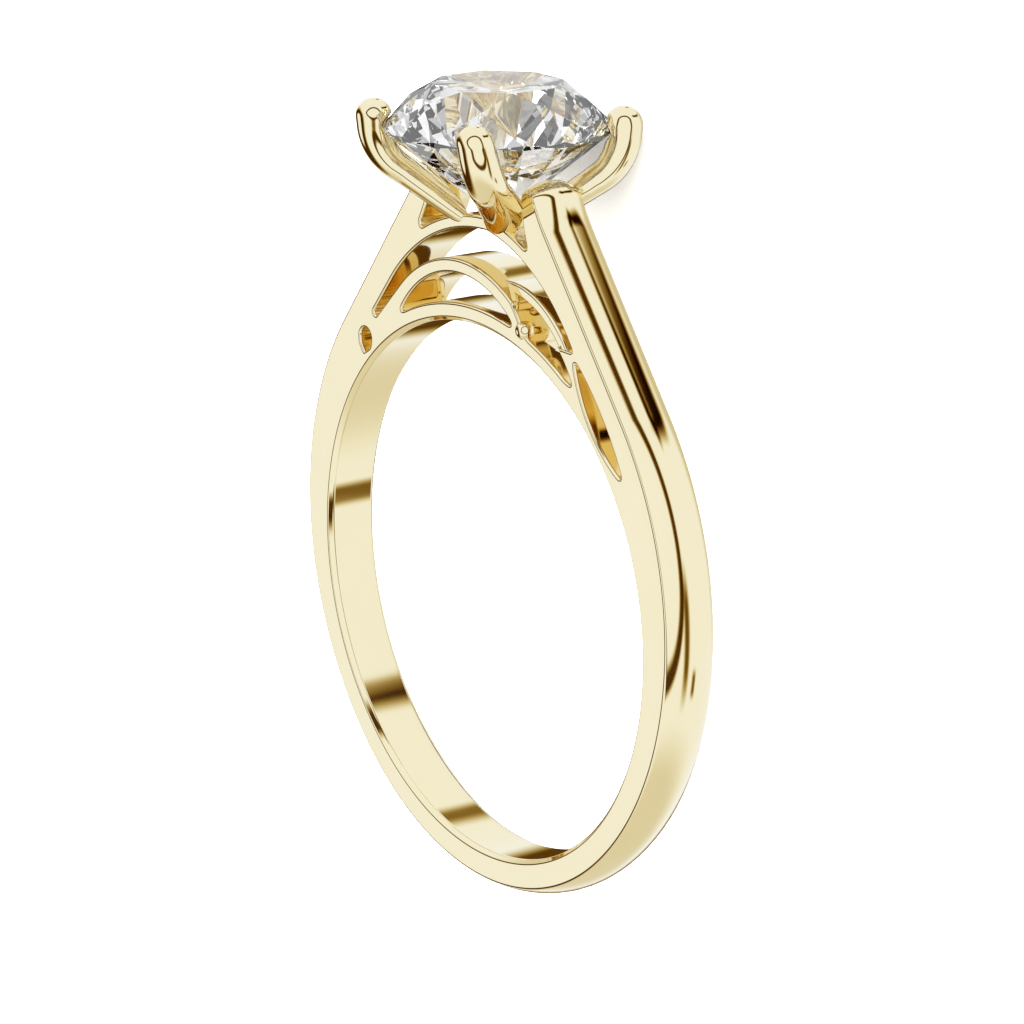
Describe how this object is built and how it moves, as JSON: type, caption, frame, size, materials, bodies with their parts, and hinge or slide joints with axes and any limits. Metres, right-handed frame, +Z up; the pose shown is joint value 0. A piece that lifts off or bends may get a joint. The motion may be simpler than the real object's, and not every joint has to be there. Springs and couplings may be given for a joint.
{
  "type": "cathedral setting ring",
  "caption": "Finger ring with a domed band, rising cathedral arms, a pierced gallery and a round cut stone held by bent prongs, lying on its side.",
  "frame": {"origin": "on the floor, at the middle of the box of the ring as it lies on its side", "axes": "+Y runs from the bottom of the band to the stone, +X across the ring, +Z up; the finger hole runs close to Z, tilted by the angle at which the ring lies"},
  "size_m": [0.0204, 0.0262, 0.007],
  "materials": {
    "yellow_gold": "mirror polish",
    "clear_stone": "polished facets"
  },
  "bodies": {
    "root": {"ring_mount": "yellow_gold", "round_stone": "clear_stone"}
  },
  "joints": []
}
